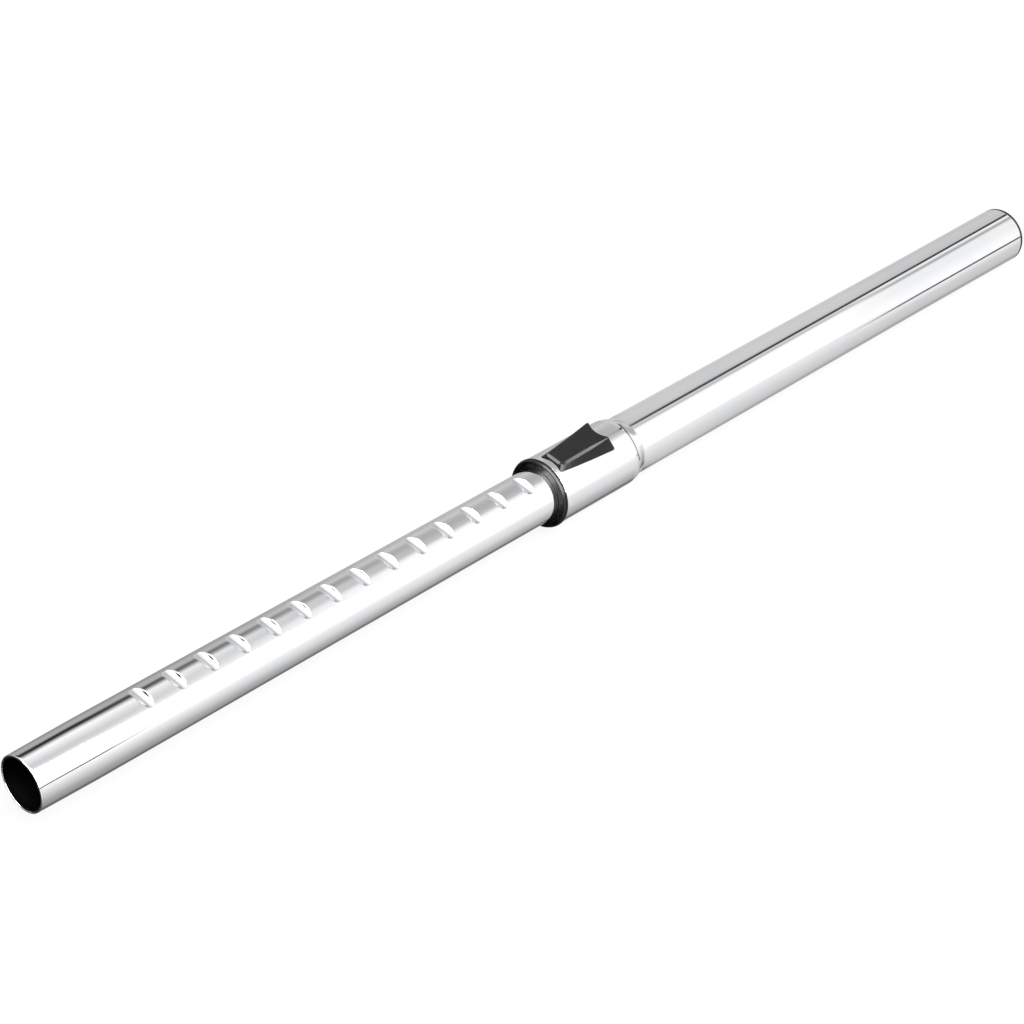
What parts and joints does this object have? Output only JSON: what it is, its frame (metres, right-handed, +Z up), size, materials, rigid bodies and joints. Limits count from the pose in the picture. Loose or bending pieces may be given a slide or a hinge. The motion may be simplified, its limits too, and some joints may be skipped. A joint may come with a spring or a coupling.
{
  "type": "vacuum extension wand",
  "caption": "Telescopic chromed steel suction wand with a notched sliding tube, a black mouth collar and a sliding release button.",
  "frame": {"origin": "centre of the handle socket's mouth, on the wand's axis", "axes": "+X along the wand toward the nozzle end, +Z up through the release button"},
  "size_m": [0.9033, 0.0454, 0.0512],
  "materials": {
    "chromed_tube": "bright chrome plate on drawn steel",
    "black_abs": "moulded, satin gloss",
    "black_rubber": "moulded, satin",
    "pale_acetal": "moulded, matt",
    "grey_acetal": "moulded, matt",
    "bright_steel": "turned",
    "spring_wire": "drawn wire"
  },
  "bodies": {
    "grip": {"outer_tube": "chromed_tube", "socket_liner": "black_abs", "collar": "black_abs", "wiper_ring": "black_rubber", "guide_shell_upper": "pale_acetal", "guide_shell_lower": "pale_acetal", "return_spring_left": "spring_wire", "return_spring_right": "spring_wire"},
    "button": {"release_button": "black_abs", "button_carriage": "pale_acetal"},
    "roller": {"lock_roller": "bright_steel"},
    "slider": {"inner_tube": "chromed_tube", "rear_bush": "grey_acetal"}
  },
  "joints": [
    {"name": "button_slide", "type": "slide", "parent": "grip", "child": "button", "axis": [-1, 0, 0], "range_m": [0, 0.006], "stiffness_N_per_m": 800, "springref_m": -0.004, "deforming": ["return_spring_left", "return_spring_right"]},
    {"name": "roller_lift", "type": "slide", "parent": "grip", "child": "roller", "axis": [0, 0, 1], "range_m": [0, 0.0024]},
    {"name": "tube_slide", "type": "slide", "parent": "grip", "child": "slider", "axis": [1, 0, 0], "range_m": [-0.2766, 0]}
  ],
  "couplings": [
    {"joint": "roller_lift", "follows": "button_slide", "ratio": 0.4}
  ]
}
